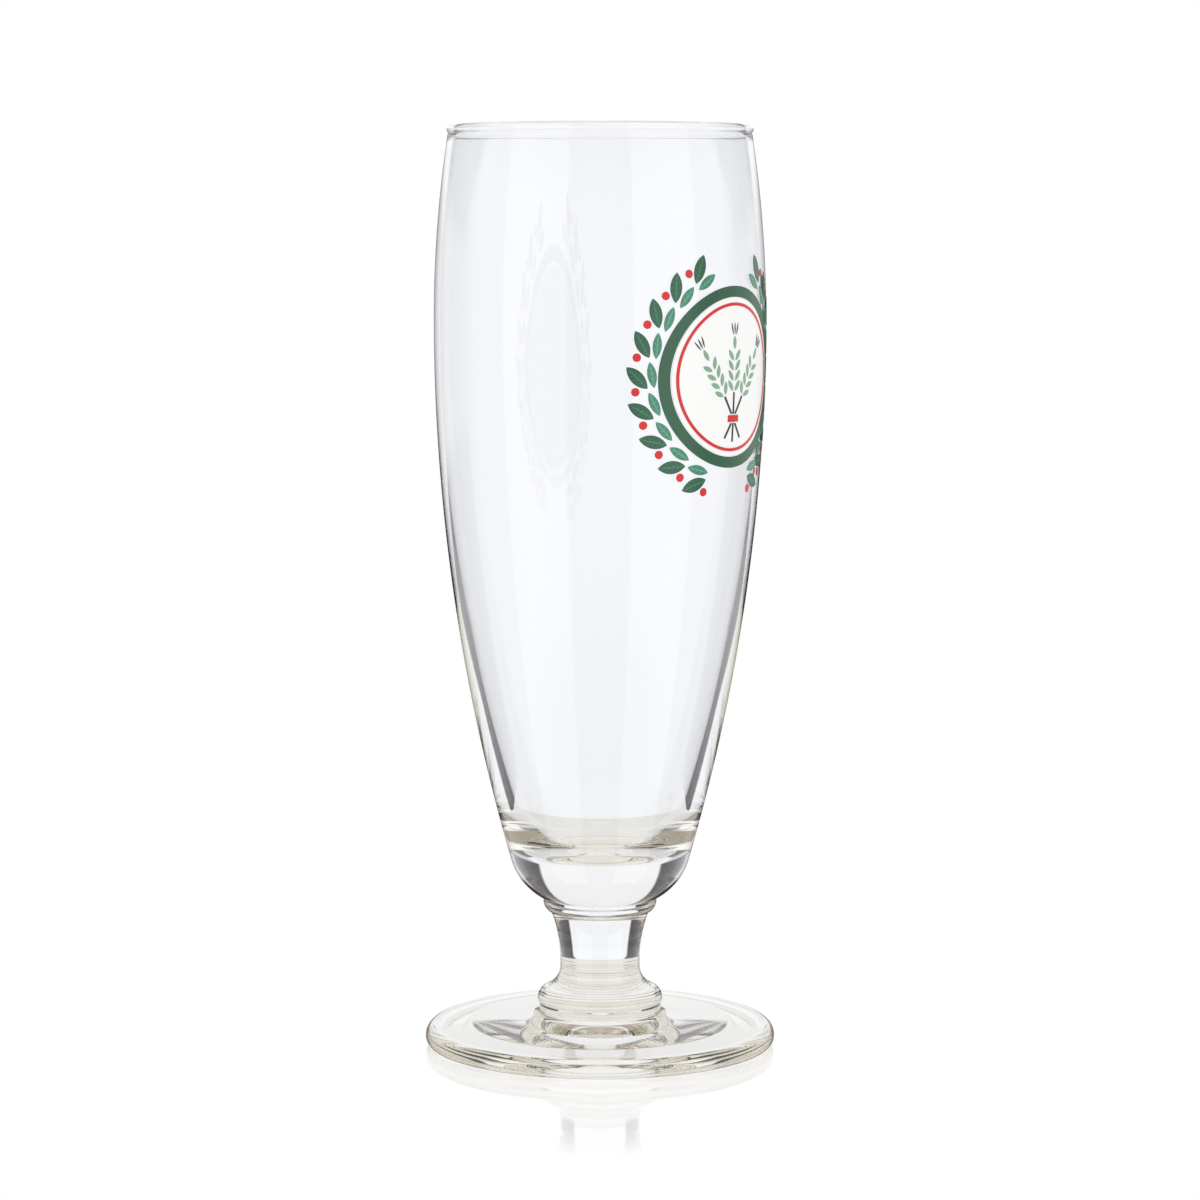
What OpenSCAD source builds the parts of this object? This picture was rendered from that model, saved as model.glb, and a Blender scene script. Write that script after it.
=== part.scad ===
// Beer goblet: a slim blown bowl on a short waisted stem and a pressed foot, fused while hot,
// with a roundel of fired enamel on the side of the bowl. It stands on the table at z = 0.
// Every glass outline is half a section, with the radius along X and the height along Y.

/* [Bowl] */
// Height of the bowl, from its joint with the stem to the rim
bowl_h = 160.9; // [140:0.1:200]
// Largest outside diameter
belly_d = 67.5; // [58:0.1:82]
// Height of the largest diameter above the joint
belly_h = 121.1; // [100:0.1:135]
// How far the wall draws in from the belly to the rim, on the radius
rim_draw = 3.1; // [1.5:0.1:6]
// Outside diameter where the body runs into the shoulder
base_d = 36.7; // [33:0.1:44]
// Height of that place above the joint
base_h = 11.1; // [10:0.1:14]
// Radius of the shoulder under the body
shoulder_r = 13.4; // [12:0.1:16]
// Diameter of the button of glass under the shoulder, where the bowl is fused on
button_d = 23.2; // [21.5:0.1:26]
// How far the button's rounded side swells out between the joint and the shoulder
button_swell = 0.6; // [0.2:0.05:1.2]

/* [Wall] */
// Wall thickness from the rim down to the belly
wall_t = 1.05; // [0.8:0.05:2]
// Diameter of the fire-polished bead round the rim
bead_d = 1.8; // [1.2:0.05:2.4]
// Wall thickness low on the body, where the inside starts to turn in to the floor
heel_t = 3.9; // [2.8:0.1:5]
// Height above the joint at which that thickness is taken
heel_h = 23.2; // [22:0.1:30]
// Radius of the turn from the wall towards the floor
turn_r = 22.3; // [18:0.1:28]
// Radius of the corner round the floor
corner_r = 9; // [6:0.1:12]
// Radius of the dished floor
dish_r = 45; // [30:1:80]
// Solid glass between the joint and the lowest point inside the bowl
floor_t = 11.6; // [9:0.1:13]

/* [Stem] */
// Length of the stem between its two joints
stem_h = 11.2; // [9:0.1:40]
// Diameter of the joint between bowl and stem
joint_d = 20.1; // [18:0.1:21]
// Smallest diameter of the stem
waist_d = 16.3; // [13:0.1:17.8]
// Height of the waist above the joint with the foot
waist_h = 0.9; // [0.4:0.1:4]

/* [Foot] */
// Height of the foot, from the table to its joint with the stem
foot_h = 16.2; // [14:0.1:20]
// Diameter of the foot
foot_d = 72; // [60:0.5:88]
// Thickness of the foot at its round edge
edge_t = 3.2; // [2.4:0.1:4]
// Height of the top of the disc, where it comes to the collar
disc_h = 6.4; // [5.2:0.1:7.4]
// Diameter of the rounded collar
collar_d = 25.75; // [23:0.05:29]
// Depth of the collar's widest place below the joint
collar_drop = 6.9; // [6:0.1:8]
// Radius of the flare from the neck to the collar
flare_r = 4.6; // [3.8:0.1:5.2]
// Radius of the fillet between the collar and the disc
fillet_r = 1.6; // [0.8:0.1:2.2]
// Width of the ring on which the foot stands
stand_w = 1; // [0.6:0.1:3]
// Diameter of the flat recess under the foot, inside its sloping side
recess_d = 53.4; // [40:0.2:56]
// Depth of the recess
recess_t = 1.6; // [0.6:0.1:2.2]

/* [Print] */
// Thickness of one fired layer of enamel
ink_t = 0.08; // [0.06:0.01:0.2]
// Bare line left between two inks
ink_gap = 0.25; // [0.15:0.05:0.5]
// Height of the roundel's middle above the joint between bowl and stem
roundel_h = 110.9; // [100:0.1:125]
// Outside diameter of the roundel's ring
ring_d = 36; // [33:0.5:42]
// Width of the ring
ring_w = 2.2; // [1.4:0.1:2.8]
// Width of the pinstripe
stripe_w = 0.6; // [0.4:0.1:1]
// Clear width between the ring and the pinstripe
stripe_gap = 1.1; // [0.6:0.1:1.6]
// Leaves in one row on each side of the wreath
leaves = 9; // [5:1:10]
// Length of a leaf of the outer row
leaf_l = 6; // [4.5:0.1:6.6]
// Width of a leaf of the outer row
leaf_w = 2.6; // [1.6:0.1:3]
// Length of a young leaf, in the row along the ring
young_l = 5.2; // [3.5:0.1:5.4]
// Width of a young leaf
young_w = 1.9; // [1.2:0.1:2.2]
// Diameter of a berry
berry_d = 1.7; // [1:0.1:1.9]
// Pairs of grains in an ear of barley
grain_pairs = 4; // [3:1:4]
// Length of a grain
grain_l = 2.6; // [2:0.1:2.8]
// Width of a grain
grain_w = 0.95; // [0.7:0.05:1.1]
// Width of a stalk
stalk_w = 0.45; // [0.3:0.05:0.6]

/* [Hidden] */
$fn = 180;

// Heights of the two fused joints, and of the places on the bowl that are set from them
joint_z = foot_h + stem_h;
rim_z = joint_z + bowl_h;
belly_z = joint_z + belly_h;
base_z = joint_z + base_h;
heel_z = joint_z + heel_h;
floor_z = joint_z + floor_t;

// Radius of the arc that leaves a vertical tangent and has moved aside by dr after a run of dz
function arc_r(dr, dz) = (dr * dr + dz * dz) / (2 * dr);
// How far an arc of radius r has moved aside after a run of dz
function arc_drift(r, dz) = r - sqrt(r * r - dz * dz);
// Points along an arc, from one turn to another, in n steps; skip leaves out the first ones
function arc_points(c, r, from, to, n, skip = 0) = [
    for (i = [skip : n]) let (a = from + (to - from) * i / n) c + r * [cos(a), sin(a)]
];
// Turn of the point p round the centre c
function turn(c, p) = atan2(p.y - c.y, p.x - c.x);

// Outside of the body: one arc above the belly, one below it, then the shoulder
belly_r = belly_d / 2;
joint_r = joint_d / 2;
bead_r = bead_d / 2;
neck_run = rim_z - bead_r - belly_z;
upper_r = arc_r(rim_draw, neck_run);
lower_r = arc_r(belly_r - base_d / 2, belly_z - base_z);
upper_lean = asin(neck_run / upper_r);
lower_lean = asin((belly_z - base_z) / lower_r);
shoulder_c = [base_d / 2, base_z] + shoulder_r * [-cos(lower_lean), sin(lower_lean)];
crease_run = sqrt(pow(shoulder_r, 2) - pow(button_d / 2 - shoulder_c.x, 2));
crease = [button_d / 2, shoulder_c.y - crease_run];
button_chord = crease - [joint_r, joint_z];
button_r = arc_r(button_swell, norm(button_chord) / 2);
button_c = [joint_r, joint_z] + button_chord / 2
    + (button_r - button_swell) * [-button_chord.y, button_chord.x] / norm(button_chord);
base_points = concat(
    arc_points(button_c, button_r, turn(button_c, [joint_r, joint_z]), turn(button_c, crease), 8),
    arc_points(shoulder_c, shoulder_r, turn(shoulder_c, crease), -lower_lean, 12, 1)
);

// Points up the outside of the body, grown by t: the enamel lies on the same points as the glass
body_steps = 22;
neck_steps = 8;
function body_points(t) = concat(
    arc_points([belly_r - lower_r, belly_z], lower_r + t, -lower_lean, 0, body_steps),
    neck_points(t)
);
function neck_points(t) =
    arc_points([belly_r - upper_r, belly_z], upper_r + t, 0, upper_lean, neck_steps, 1);

// Lower of the two places at the distances ra from a and rb from b, with b to the right of a
function meeting(a, ra, b, rb) =
    let (
        span = norm(b - a),
        way = (b - a) / span,
        along = (ra * ra - rb * rb + span * span) / (2 * span),
        across = sqrt(ra * ra - along * along)
    )
    a + along * way + across * [way.y, -way.x];

// Inside of the body: the wall is even above the belly and swells below it, then turns in to a rounded
// corner and a dished floor, each arc tangent to the next
cavity_r = belly_r - wall_t;
heel = [belly_r - arc_drift(lower_r, belly_z - heel_z) - heel_t, heel_z];
inner_r = arc_r(cavity_r - heel.x, belly_z - heel_z);
inner_c = [cavity_r - inner_r, belly_z];
heel_turn = turn(inner_c, heel);
turn_c = heel - turn_r * [cos(heel_turn), sin(heel_turn)];
dish_c = [0, floor_z + dish_r];
corner_c = meeting(turn_c, turn_r - corner_r, dish_c, dish_r - corner_r);
floor_turn = turn(dish_c, corner_c);
corner_turn = turn(turn_c, corner_c);
cavity_points = concat(
    arc_points(dish_c, dish_r, -90, floor_turn, 4),
    arc_points(corner_c, corner_r, floor_turn, corner_turn, 10, 1),
    arc_points(turn_c, turn_r, corner_turn, heel_turn, 10, 1),
    arc_points(inner_c, inner_r, heel_turn, 0, body_steps, 1),
    neck_points(-wall_t)
);

// Side of the stem: one hollow arc through both joints, with its narrowest place at the waist
stem_r = arc_r(joint_r - waist_d / 2, stem_h - waist_h);
stem_c = [waist_d / 2 + stem_r, foot_h + waist_h];
neck_r = waist_d / 2 + arc_drift(stem_r, waist_h);
stem_points = arc_points(stem_c, stem_r, 180 + asin(waist_h / stem_r),
    180 - asin((stem_h - waist_h) / stem_r), 12);

// Foot: flare, collar, fillet, sloping disc and round edge, each tangent to the next
edge_r = edge_t / 2;
rest_r = foot_d / 2 - edge_r;
collar_h = foot_h - collar_drop;
disc_run = [rest_r - collar_d / 2, disc_h - edge_r];
disc_slope = atan2(disc_run.y, disc_run.x) - asin(edge_r / norm(disc_run));
disc_up = [sin(disc_slope), cos(disc_slope)];
disc_in = [-cos(disc_slope), sin(disc_slope)];
disc_edge = [rest_r, edge_r] + edge_r * disc_up;
flare_c = [neck_r + flare_r, foot_h];
collar_gap = flare_c.x - collar_d / 2;
collar_r = (pow(collar_gap, 2) + pow(collar_drop, 2) - pow(flare_r, 2))
    / (2 * (flare_r - collar_gap));
collar_c = [collar_d / 2 - collar_r, collar_h];
flare_turn = turn(collar_c, flare_c);
fillet_from = disc_edge + fillet_r * disc_up - collar_c;
fillet_along = fillet_from * disc_in;
fillet_run = -fillet_along
    - sqrt(pow(fillet_along, 2) - fillet_from * fillet_from + pow(collar_r + fillet_r, 2));
fillet_c = disc_edge + fillet_r * disc_up + fillet_run * disc_in;
fillet_turn = turn(collar_c, fillet_c);
foot_points = concat(
    [[0, recess_t], [recess_d / 2, recess_t], [rest_r - stand_w, 0]],
    arc_points([rest_r, edge_r], edge_r, -90, 0, 6),
    arc_points([rest_r, edge_r], edge_r, 0, 90 - disc_slope, 6, 1),
    arc_points(fillet_c, fillet_r, 270 - disc_slope, 180 + fillet_turn, 8),
    arc_points(collar_c, collar_r, fillet_turn, flare_turn, 10, 1),
    arc_points(flare_c, flare_r, 180 + flare_turn, 180, 10, 1),
    [[0, foot_h]]
);

// Roundel and wreath, in the flat: x along the bowl's girth, y up, from the roundel's middle
roundel_z = joint_z + roundel_h;
ring_in = ring_d / 2 - ring_w;
stripe_out = ring_in - stripe_gap;
ring_girth = belly_r * asin(ring_d / belly_d) * PI / 180;
young_at = ring_girth + 0.915;
leaf_at = young_at + 1.4;
berry_at = leaf_at + 2.5;
print_reach = leaf_at + 2 * leaf_l;
print_sweep = 2 * print_reach / belly_r * 180 / PI;
function skin_points(t) = [
    for (i = [0 : body_steps + neck_steps])
        if (abs(body_points(0)[i].y - roundel_z) < print_reach) body_points(t)[i]
];
wreath_from = 20;
wreath_to = 150;
wreath_step = (wreath_to - wreath_from) / (leaves - 1);
leaf_tilt = 40;
young_tilt = 6;
ears = [-33, 0, 33];
tie_y = -8.2;
tie_size = [3.4, 3 * stalk_w];
stalk_span = [-4.6, 5.2];
grain_from = 5.5;
grain_pitch = 2;
grain_splay = 36;
awn_size = [0.3, 2.4];
awn_fan = [-13, 0, 13];
grain_top = grain_from + grain_pairs * grain_pitch;

// Segment of a circle of radius r on the right of the chord from p to q
module bulge(p, q, r) {
    chord = q - p;
    sag = sqrt(r * r - chord * chord / 4);
    translate((p + q) / 2)
        rotate(atan2(chord.y, chord.x))
            intersection() {
                translate([0, sag]) circle(r);
                translate([-2 * r, -2 * r]) square([4 * r, 2 * r]);
            }
}

module bowl_outline() {
    polygon(concat([[0, joint_z]], base_points, body_points(0), [[0, belly_z + neck_run]]));
}

module cavity_outline() {
    mouth = cavity_points[len(cavity_points) - 1];
    polygon(concat(cavity_points, [[mouth.x, rim_z + 1], [0, rim_z + 1]]));
}

module bowl() {
    color("aliceblue", 0.35)
        rotate_extrude() {
            difference() {
                bowl_outline();
                cavity_outline();
            }
            translate([belly_r - rim_draw - wall_t / 2, rim_z - bead_r]) circle(bead_r);
        }
}

module stem() {
    color("aliceblue", 0.35)
        rotate_extrude()
            polygon(concat([[0, foot_h]], stem_points, [[0, joint_z]]));
}

module foot() {
    color("ivory", 0.35)
        rotate_extrude()
            polygon(foot_points);
}

// Skin of enamel on the front of the body: layer 0 lies on the glass, layer 1 on the layer below it
module ink(layer) {
    inside = skin_points(layer * ink_t);
    outside = skin_points((layer + 1) * ink_t);
    intersection() {
        rotate([0, 0, -90 - print_sweep / 2])
            rotate_extrude(angle = print_sweep)
                polygon(concat(outside, [for (i = [len(inside) - 1 : -1 : 0]) inside[i]]));
        union() children();
    }
}

// A flat motif of the given half width, turned round the bowl to the place u along its girth and v up,
// and sent out through the skin of enamel from just inside the glass
module stamp(u, v, half) {
    from = sqrt(pow(belly_r - 5, 2) - half * half);
    rotate([0, 0, u / belly_r * 180 / PI])
        translate([0, -from, roundel_z + v])
            rotate([90, 0, 0])
                linear_extrude(height = belly_r + 2 - from)
                    children();
}

// Pointed oval that grows up from the origin
module blade(l, w) {
    side_r = (l * l + w * w) / (4 * w);
    bulge([0, 0], [0, l], side_r);
    bulge([0, l], [0, 0], side_r);
}

// Child of the given half width copied up both sides of the wreath, at the distance r from its middle
module wreath(r, tilt, lead, half) {
    for (side = [0, 1], i = [0 : leaves - 1]) {
        a = wreath_from + i * wreath_step + lead;
        stamp((1 - 2 * side) * r * sin(a), -r * cos(a), half)
            mirror([side, 0]) rotate(a - tilt - 90) children();
    }
}

// Place on the ear that leans by the angle lean, at x beside its line and y above the tie
function on_ear(lean, x, y) = [x * cos(lean) + y * sin(lean), tie_y - x * sin(lean) + y * cos(lean)];

module on_ears(x, y, splay) {
    for (lean = ears) {
        place = on_ear(lean, x, y);
        stamp(place.x, place.y, grain_l) rotate(-lean - splay) children();
    }
}

module tie_shape(gap) {
    square(tie_size + [2 * gap, 2 * gap], center = true);
}

module ground_print() {
    color("white")
        ink(0)
            stamp(0, 0, ring_in) circle(ring_in - ink_gap);
}

module ring_print() {
    color("darkgreen")
        ink(0)
            stamp(0, 0, ring_d / 2)
                difference() {
                    circle(ring_d / 2);
                    circle(ring_in);
                }
}

module pinstripe_print() {
    color("crimson")
        ink(1)
            stamp(0, 0, stripe_out)
                difference() {
                    circle(stripe_out);
                    circle(stripe_out - stripe_w);
                }
}

module grain_print() {
    color("darkseagreen")
        ink(1) {
            for (side = [-1, 1], i = [0 : grain_pairs - 1])
                on_ears(side * grain_w / 3, grain_from + i * grain_pitch, side * grain_splay)
                    blade(grain_l, grain_w);
            on_ears(0, grain_top + ink_gap, 0) blade(grain_l, grain_w);
        }
}

module stalk_print() {
    color("black")
        ink(1) {
            stamp(0, tie_y, norm(stalk_span))
                difference() {
                    for (lean = ears)
                        rotate(-lean)
                            translate([-stalk_w / 2, stalk_span[0]])
                                square([stalk_w, stalk_span[1] - stalk_span[0]]);
                    tie_shape(ink_gap);
                }
            for (splay = awn_fan)
                on_ears(2 * ink_gap * sign(splay), grain_top + grain_l + 2 * ink_gap, splay)
                    blade(awn_size[1], awn_size[0]);
        }
}

module tie_print() {
    color("crimson")
        ink(1)
            stamp(0, tie_y, tie_size[0]) tie_shape(0);
}

module leaf_print() {
    color("darkgreen")
        ink(0)
            wreath(leaf_at, leaf_tilt, 0, leaf_l) blade(leaf_l, leaf_w);
}

module young_leaf_print() {
    color("seagreen")
        ink(0)
            wreath(young_at, young_tilt, 0, young_l) blade(young_l, young_w);
}

module berry_print() {
    color("crimson")
        ink(0)
            wreath(berry_at, 0, -1, berry_d) circle(d = berry_d);
}

bowl();
stem();
foot();
ground_print();
ring_print();
pinstripe_print();
grain_print();
stalk_print();
tie_print();
leaf_print();
young_leaf_print();
berry_print();
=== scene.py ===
from math import asin, atan2, cos, hypot, pi, radians, sin, sqrt

import bpy
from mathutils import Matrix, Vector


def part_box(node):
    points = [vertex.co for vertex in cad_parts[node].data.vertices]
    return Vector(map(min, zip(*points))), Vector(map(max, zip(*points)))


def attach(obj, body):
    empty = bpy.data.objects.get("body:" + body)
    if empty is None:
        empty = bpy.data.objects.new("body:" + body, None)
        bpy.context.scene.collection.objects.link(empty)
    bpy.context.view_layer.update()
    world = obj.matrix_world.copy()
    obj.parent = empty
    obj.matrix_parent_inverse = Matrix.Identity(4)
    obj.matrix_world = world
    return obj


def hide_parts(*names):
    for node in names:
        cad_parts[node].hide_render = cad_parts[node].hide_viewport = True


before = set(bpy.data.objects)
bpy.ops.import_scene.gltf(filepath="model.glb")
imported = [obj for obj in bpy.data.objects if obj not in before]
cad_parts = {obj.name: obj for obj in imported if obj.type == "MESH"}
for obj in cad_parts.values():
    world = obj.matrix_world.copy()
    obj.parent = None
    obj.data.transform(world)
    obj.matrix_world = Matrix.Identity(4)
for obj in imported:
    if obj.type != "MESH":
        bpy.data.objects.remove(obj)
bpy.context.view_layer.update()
scene = bpy.context.scene

# The foot: pressed in a mould from a gather of its own, then fire polished.
# Clear soda-lime glass with a straw tint, chill rings on its flare from the cold mould, and a shallow
# recess underneath, so that it stands on a ring.
MM = 0.001
foot_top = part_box("foot")[1].z / MM
foot_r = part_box("foot")[1].x / MM
edge_r = 1.6
edge_top_r = 2.5
edge_up = 1.9
disc_drop = 9.8
collar_r_out = 12.875
collar_drop = 6.9
flare_r = 4.6
fillet_r = 1.6
stand_wide = 1.0
recess_r = 26.7
recess_deep = 1.6
waist_r = 8.15
waist_up = 0.9
joint_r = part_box("stem")[1].x / MM
joint_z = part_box("stem")[1].z / MM
weld = 1e-7
joint_near = 1e-6


def arc_radius(aside, run):
    """Radius of an arc that starts upright and has moved aside after a run."""
    return (aside * aside + run * run) / (2 * aside)


def drift(radius, run):
    """How far such an arc has moved aside after a run."""
    return radius - sqrt(radius * radius - run * run)


def toward(a, b):
    """Turn of the way from point a to point b."""
    return atan2(b[1] - a[1], b[0] - a[0])


def arc(centre, radius, start, stop, steps):
    """Points of a half section along an arc, both ends included."""
    turns = [start + (stop - start) * i / steps for i in range(steps + 1)]
    return [(centre[0] + radius * cos(t), centre[1] + radius * sin(t)) for t in turns]


def stretch(a, b, steps):
    """Points of a half section along a straight line, both ends included."""
    return [(a[0] + (b[0] - a[0]) * i / steps, a[1] + (b[1] - a[1]) * i / steps) for i in range(steps + 1)]


def add(tree, kind, settings=None, **inputs):
    """One node with its settings, and each input linked from a socket or set to a value."""
    made = tree.nodes.new(kind)
    for key, value in (settings or {}).items():
        setattr(made, key, value)
    for key, value in inputs.items():
        wire(tree, made, key.replace("_", " "), value)
    return made


def wire(tree, made, name, value):
    """Gives the named input of a node a socket's output or a plain value."""
    socket = next(s for s in made.inputs if s.name == name and s.enabled)
    if isinstance(value, bpy.types.NodeSocket):
        tree.links.new(value, socket)
    else:
        socket.default_value = value


def calc(tree, operation, *terms):
    """A Math node on sockets and numbers, as a socket."""
    made = tree.nodes.new("ShaderNodeMath")
    made.operation = operation
    for socket, term in zip(made.inputs, terms):
        if isinstance(term, bpy.types.NodeSocket):
            tree.links.new(term, socket)
        else:
            socket.default_value = term
    return made.outputs[0]


def new_tree(name, kind, inputs, outputs):
    """A node group with named sockets, its input node and its output node."""
    tree = bpy.data.node_groups.new(name, kind)
    for label, socket, value in inputs:
        made = tree.interface.new_socket(label, in_out="INPUT", socket_type=socket)
        if value is not None:
            made.default_value = value
    for label, socket in outputs:
        tree.interface.new_socket(label, in_out="OUTPUT", socket_type=socket)
    return tree, tree.nodes.new("NodeGroupInput").outputs, tree.nodes.new("NodeGroupOutput")


def smooth_but_creases(tree, mesh, crease):
    """Smooth shading with sharp edges where the surface turns by more than the crease angle."""
    soft = add(tree, "GeometryNodeSetShadeSmooth", {"domain": "FACE"}, Geometry=mesh)
    turn = add(tree, "GeometryNodeInputMeshEdgeAngle").outputs["Unsigned Angle"]
    sharp = add(tree, "FunctionNodeCompare", {"operation": "GREATER_THAN"}, A=turn, B=crease)
    return add(tree, "GeometryNodeSetShadeSmooth", {"domain": "EDGE"}, Geometry=soft.outputs[0],
               Selection=sharp.outputs[0], Shade_Smooth=False).outputs[0]


def turned_tree():
    """Turns a half section round the axis into a closed solid; the fused faces get their own material."""
    tree, given, out = new_tree("Turned glass", "GeometryNodeTree", [
        ("Half section", "NodeSocketGeometry", None),
        ("Segments", "NodeSocketInt", 256),
        ("Crease", "NodeSocketFloat", radians(28)),
        ("Low joint", "NodeSocketFloat", -1.0),
        ("High joint", "NodeSocketFloat", -1.0),
        ("Glass", "NodeSocketMaterial", None),
        ("Fused face", "NodeSocketMaterial", None),
    ], [("Geometry", "NodeSocketGeometry")])
    count = add(tree, "GeometryNodeAttributeDomainSize", {"component": "MESH"},
                Geometry=given["Half section"]).outputs["Point Count"]
    columns = calc(tree, "ADD", given["Segments"], 1)
    grid = add(tree, "GeometryNodeMeshGrid", Vertices_X=count, Vertices_Y=columns)
    index = add(tree, "GeometryNodeInputIndex").outputs[0]
    row = calc(tree, "FLOOR", calc(tree, "DIVIDE", calc(tree, "ADD", index, 0.5), columns))
    column = calc(tree, "SUBTRACT", index, calc(tree, "MULTIPLY", row, columns))
    turn = calc(tree, "MULTIPLY", calc(tree, "DIVIDE", column, given["Segments"]), 2 * pi)
    place = add(tree, "GeometryNodeInputPosition").outputs[0]
    sampled = add(tree, "GeometryNodeSampleIndex", {"data_type": "FLOAT_VECTOR", "domain": "POINT"},
                  Geometry=given["Half section"], Value=place, Index=row)
    point = add(tree, "ShaderNodeSeparateXYZ", Vector=sampled.outputs[0]).outputs
    x = calc(tree, "MULTIPLY", point["X"], calc(tree, "COSINE", turn))
    y = calc(tree, "MULTIPLY", point["X"], calc(tree, "SINE", turn))
    spun = add(tree, "ShaderNodeCombineXYZ", X=x, Y=y, Z=point["Z"])
    moved = add(tree, "GeometryNodeSetPosition", Geometry=grid.outputs["Mesh"], Position=spun.outputs[0])
    outward = add(tree, "GeometryNodeFlipFaces", Mesh=moved.outputs[0])
    closed = add(tree, "GeometryNodeMergeByDistance", Geometry=outward.outputs[0], Distance=weld)
    shaded = smooth_but_creases(tree, closed.outputs[0], given["Crease"])
    solid = add(tree, "GeometryNodeRealizeInstances", Geometry=shaded).outputs[0]
    glassy = add(tree, "GeometryNodeSetMaterial", Geometry=solid, Material=given["Glass"]).outputs[0]
    height = add(tree, "ShaderNodeSeparateXYZ", Vector=place).outputs["Z"]
    for joint in ("Low joint", "High joint"):
        near = add(tree, "FunctionNodeCompare", {"operation": "LESS_THAN"}, B=joint_near,
                   A=calc(tree, "ABSOLUTE", calc(tree, "SUBTRACT", height, given[joint])))
        glassy = add(tree, "GeometryNodeSetMaterial", Geometry=glassy, Selection=near.outputs[0],
                     Material=given["Fused face"]).outputs[0]
    tree.links.new(glassy, out.inputs[0])
    return tree


def apply_tree(name, mesh, tree, sizes):
    """A piece at the origin whose mesh is what the tree makes of the given one."""
    piece = bpy.data.objects.new(name, mesh)
    scene.collection.objects.link(piece)
    modifier = piece.modifiers.new(tree.name, "NODES")
    modifier.node_group = tree
    for item in tree.interface.items_tree:
        if item.in_out == "INPUT" and item.name in sizes:
            modifier[item.identifier] = sizes[item.name]
    graph = bpy.context.evaluated_depsgraph_get()
    made = piece.evaluated_get(graph)
    piece.data = bpy.data.meshes.new_from_object(made, preserve_all_data_layers=True, depsgraph=graph)
    piece.modifiers.remove(modifier)
    piece.data.name = name
    return piece


def outline_mesh(name, outline):
    """A half section in millimetres, radius and height, as a line of points in metres."""
    mesh = bpy.data.meshes.new(name)
    points = [(r * MM, 0.0, z * MM) for r, z in outline]
    mesh.from_pydata(points, [(i, i + 1) for i in range(len(points) - 1)], [])
    return mesh


smear_scale = 90.0
haze_power = 4.0
cord_tint = (0.985, 0.99, 0.99, 1.0)
white = (1.0, 1.0, 1.0, 1.0)


def worked_glass_group():
    """Faint cords and haze of a glass that was worked hot."""
    tree, given, out = new_tree("Worked glass", "ShaderNodeTree", [
        ("Stretch", "NodeSocketVector", (60.0, 60.0, 12.0)),
        ("Haze", "NodeSocketFloat", 0.01),
    ], [("Colour", "NodeSocketColor"), ("Roughness", "NodeSocketFloat"), ("Height", "NodeSocketFloat")])
    place = add(tree, "ShaderNodeTexCoord").outputs["Object"]
    stretched = add(tree, "ShaderNodeVectorMath", {"operation": "MULTIPLY"})
    tree.links.new(place, stretched.inputs[0])
    tree.links.new(given["Stretch"], stretched.inputs[1])
    cords = add(tree, "ShaderNodeTexNoise", Vector=stretched.outputs[0], Scale=1.0, Detail=1.0)
    smears = add(tree, "ShaderNodeTexNoise", Vector=place, Scale=smear_scale, Detail=4.0)
    tint = add(tree, "ShaderNodeMix", {"data_type": "RGBA"}, Factor=cords.outputs["Fac"],
               A=cord_tint, B=white)
    haze = calc(tree, "MULTIPLY", calc(tree, "POWER", smears.outputs["Fac"], haze_power), given["Haze"])
    tree.links.new(tint.outputs["Result"], out.inputs["Colour"])
    tree.links.new(haze, out.inputs["Roughness"])
    tree.links.new(cords.outputs["Fac"], out.inputs["Height"])
    return tree


worked_glass = worked_glass_group()
glass_ior = 1.52
straw_tint = (0.88, 0.72, 0.12, 1.0)
straw_density = 1.2
foot_tint = (0.72, 0.55, 0.08, 1.0)
foot_density = 2.6


def glass_material(name, stretch, haze, depth, tint=straw_tint, density=straw_density):
    """Clear glass with the cords of its own making and a straw tint that grows with its thickness."""
    material = bpy.data.materials.new(name)
    material.use_nodes = True
    tree = material.node_tree
    shader = tree.nodes["Principled BSDF"]
    made = add(tree, "ShaderNodeGroup", {"node_tree": worked_glass}, Stretch=stretch, Haze=haze)
    bump = add(tree, "ShaderNodeBump", Strength=1.0, Distance=depth, Height=made.outputs["Height"])
    for socket, value in (("Base Color", made.outputs["Colour"]), ("Roughness", made.outputs["Roughness"]),
                          ("Normal", bump.outputs[0]), ("IOR", glass_ior), ("Transmission Weight", 1.0)):
        wire(tree, shader, socket, value)
    tint_volume(tree, tint, density)
    return material


def tint_volume(tree, tint, density):
    """Absorbs a little blue along the way through the glass."""
    volume = add(tree, "ShaderNodeVolumeAbsorption", Color=tint, Density=density)
    tree.links.new(volume.outputs[0], tree.nodes["Material Output"].inputs["Volume"])


def fused_material():
    """A face where two gathers have run together, which no longer shows."""
    material = bpy.data.materials.new("fused_joint")
    material.use_nodes = True
    shader = material.node_tree.nodes["Principled BSDF"]
    shader.inputs["Alpha"].default_value = 0.0
    tint_volume(material.node_tree, straw_tint, straw_density)
    return material


fused = fused_material()
foot_cords = (70.0, 70.0, 70.0)
foot_haze = 0.012
cord_depth = 0.000004
pressed_glass = glass_material("pressed_glass", foot_cords, foot_haze, cord_depth, foot_tint, foot_density)
turned_glass = turned_tree()
stem_arc = arc_radius(joint_r - waist_r, joint_z - foot_top - waist_up)
neck_r = waist_r + drift(stem_arc, waist_up)
rest_r = foot_r - edge_r
edge_c = (foot_r - edge_top_r, edge_up)
disc_run = (edge_c[0] - collar_r_out, foot_top - disc_drop - edge_up)
slope = atan2(disc_run[1], disc_run[0]) - asin(edge_top_r / hypot(*disc_run))
disc_up = (sin(slope), cos(slope))
disc_in = (-cos(slope), sin(slope))
disc_edge = (edge_c[0] + edge_top_r * disc_up[0], edge_c[1] + edge_top_r * disc_up[1])
flare_c = (neck_r + flare_r, foot_top)
gap = flare_c[0] - collar_r_out
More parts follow.
